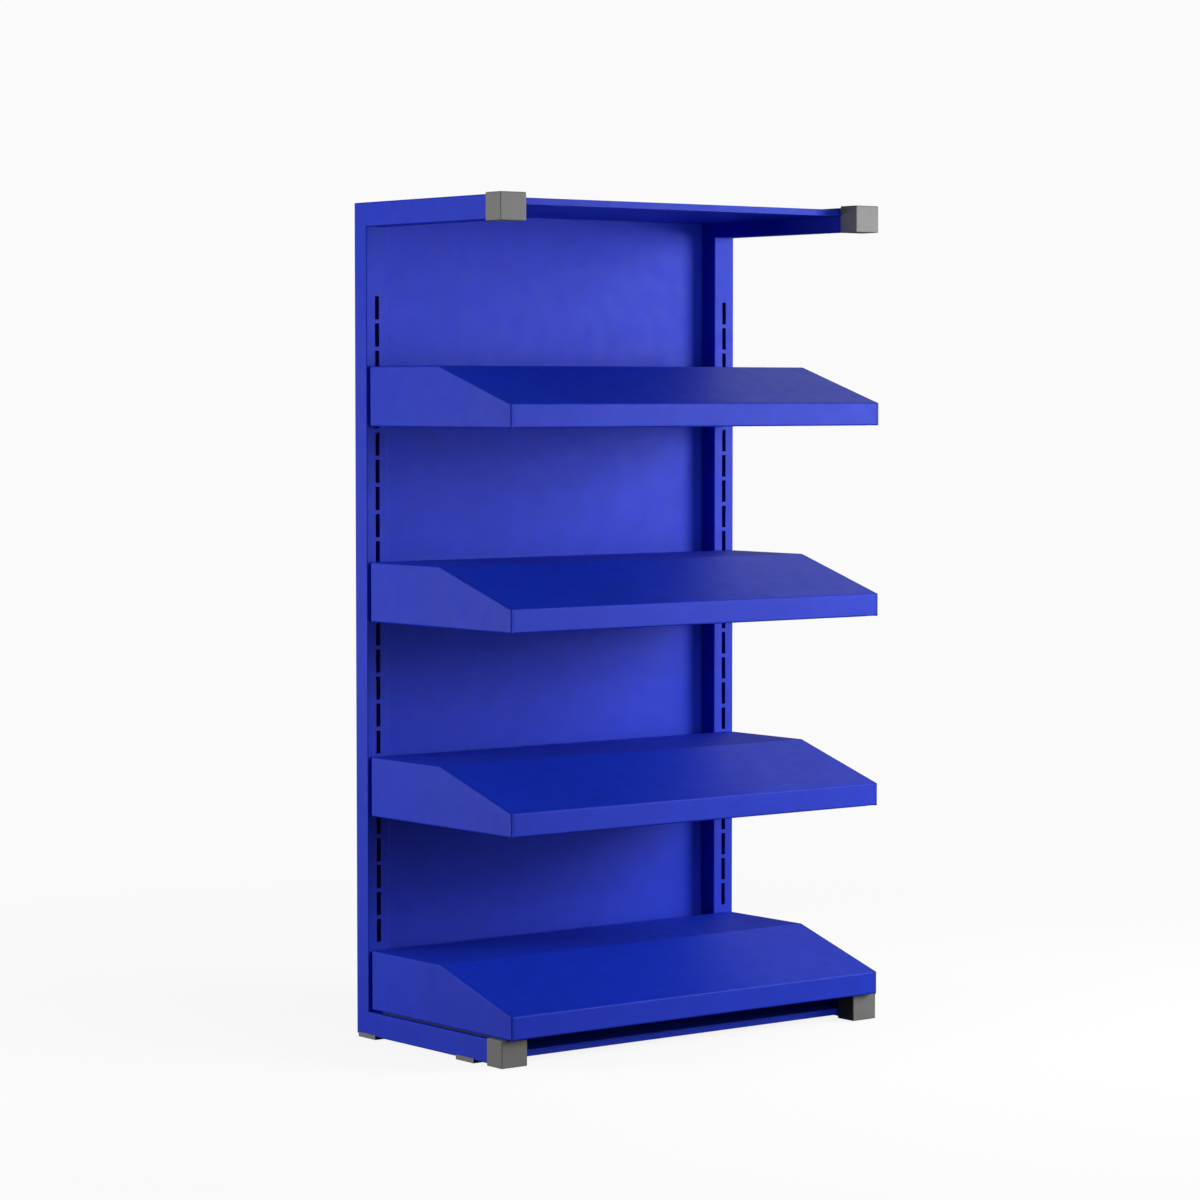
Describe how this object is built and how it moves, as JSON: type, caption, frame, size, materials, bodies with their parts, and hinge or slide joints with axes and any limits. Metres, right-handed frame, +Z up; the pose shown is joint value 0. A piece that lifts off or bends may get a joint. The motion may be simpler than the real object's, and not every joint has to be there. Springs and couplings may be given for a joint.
{
  "type": "cantilever shelving rack",
  "caption": "Free-standing single-sided shelving bay: slotted posts, hook-in cantilever shelves with sloped fronts, back panel and thin top panel.",
  "frame": {"origin": "centre of the footprint, on the floor", "axes": "+Z up, +X along the shelves to the right seen from the front, -Y towards the open front, +Y towards the back panel"},
  "size_m": [0.886, 0.485, 1.544],
  "materials": {
    "blue_paint": "satin powder coat",
    "grey_plastic": "moulded matte",
    "zinc_steel": "bright zinc plate"
  },
  "bodies": {
    "frame": {"post_left": "blue_paint", "post_right": "blue_paint", "top_arm_left": "blue_paint", "top_arm_right": "blue_paint", "base_leg_left": "blue_paint", "base_leg_right": "blue_paint", "back_panel": "blue_paint", "back_panel_rib_upper": "blue_paint", "back_panel_rib_lower": "blue_paint", "top_panel": "blue_paint", "bottom_panel": "blue_paint", "base_bracket_left": "blue_paint", "base_bracket_right": "blue_paint", "base_deck_rest_left": "blue_paint", "base_deck_rest_right": "blue_paint", "top_cap_left": "grey_plastic", "top_cap_right": "grey_plastic", "base_cap_left": "grey_plastic", "base_cap_right": "grey_plastic", "foot_shoe_rear_left": "grey_plastic", "foot_shoe_rear_right": "grey_plastic", "foot_shoe_front_left": "grey_plastic", "foot_shoe_front_right": "grey_plastic", "base_spacer_left": "grey_plastic", "base_spacer_right": "grey_plastic", "back_panel_screws": "zinc_steel", "top_panel_screws": "zinc_steel", "bottom_panel_screws": "zinc_steel", "base_bracket_screws": "zinc_steel"},
    "upper_shelf": {"upper_bracket_left": "blue_paint", "upper_bracket_right": "blue_paint", "upper_deck_rest_left": "blue_paint", "upper_deck_rest_right": "blue_paint", "upper_hook_plate_left": "blue_paint", "upper_hook_plate_right": "blue_paint"},
    "upper_shelf_deck": {"upper_deck": "blue_paint", "upper_deck_stiffener": "blue_paint"},
    "middle_shelf": {"middle_bracket_left": "blue_paint", "middle_bracket_right": "blue_paint", "middle_deck_rest_left": "blue_paint", "middle_deck_rest_right": "blue_paint", "middle_hook_plate_left": "blue_paint", "middle_hook_plate_right": "blue_paint"},
    "middle_shelf_deck": {"middle_deck": "blue_paint", "middle_deck_stiffener": "blue_paint"},
    "lower_shelf": {"lower_bracket_left": "blue_paint", "lower_bracket_right": "blue_paint", "lower_deck_rest_left": "blue_paint", "lower_deck_rest_right": "blue_paint", "lower_hook_plate_left": "blue_paint", "lower_hook_plate_right": "blue_paint"},
    "lower_shelf_deck": {"lower_deck": "blue_paint", "lower_deck_stiffener": "blue_paint"},
    "base_shelf_deck": {"base_deck": "blue_paint", "base_deck_stiffener": "blue_paint"}
  },
  "joints": [
    {"name": "upper_shelf_lift", "type": "slide", "parent": "frame", "child": "upper_shelf", "axis": [0, 0, 1], "range_m": [0, 0.016]},
    {"name": "upper_deck_lift", "type": "slide", "parent": "upper_shelf", "child": "upper_shelf_deck", "axis": [0, 0, 1], "range_m": [0, 0.12]},
    {"name": "middle_shelf_lift", "type": "slide", "parent": "frame", "child": "middle_shelf", "axis": [0, 0, 1], "range_m": [0, 0.016]},
    {"name": "middle_deck_lift", "type": "slide", "parent": "middle_shelf", "child": "middle_shelf_deck", "axis": [0, 0, 1], "range_m": [0, 0.12]},
    {"name": "lower_shelf_lift", "type": "slide", "parent": "frame", "child": "lower_shelf", "axis": [0, 0, 1], "range_m": [0, 0.016]},
    {"name": "lower_deck_lift", "type": "slide", "parent": "lower_shelf", "child": "lower_shelf_deck", "axis": [0, 0, 1], "range_m": [0, 0.12]},
    {"name": "base_deck_lift", "type": "slide", "parent": "frame", "child": "base_shelf_deck", "axis": [0, 0, 1], "range_m": [0, 0.12]}
  ]
}
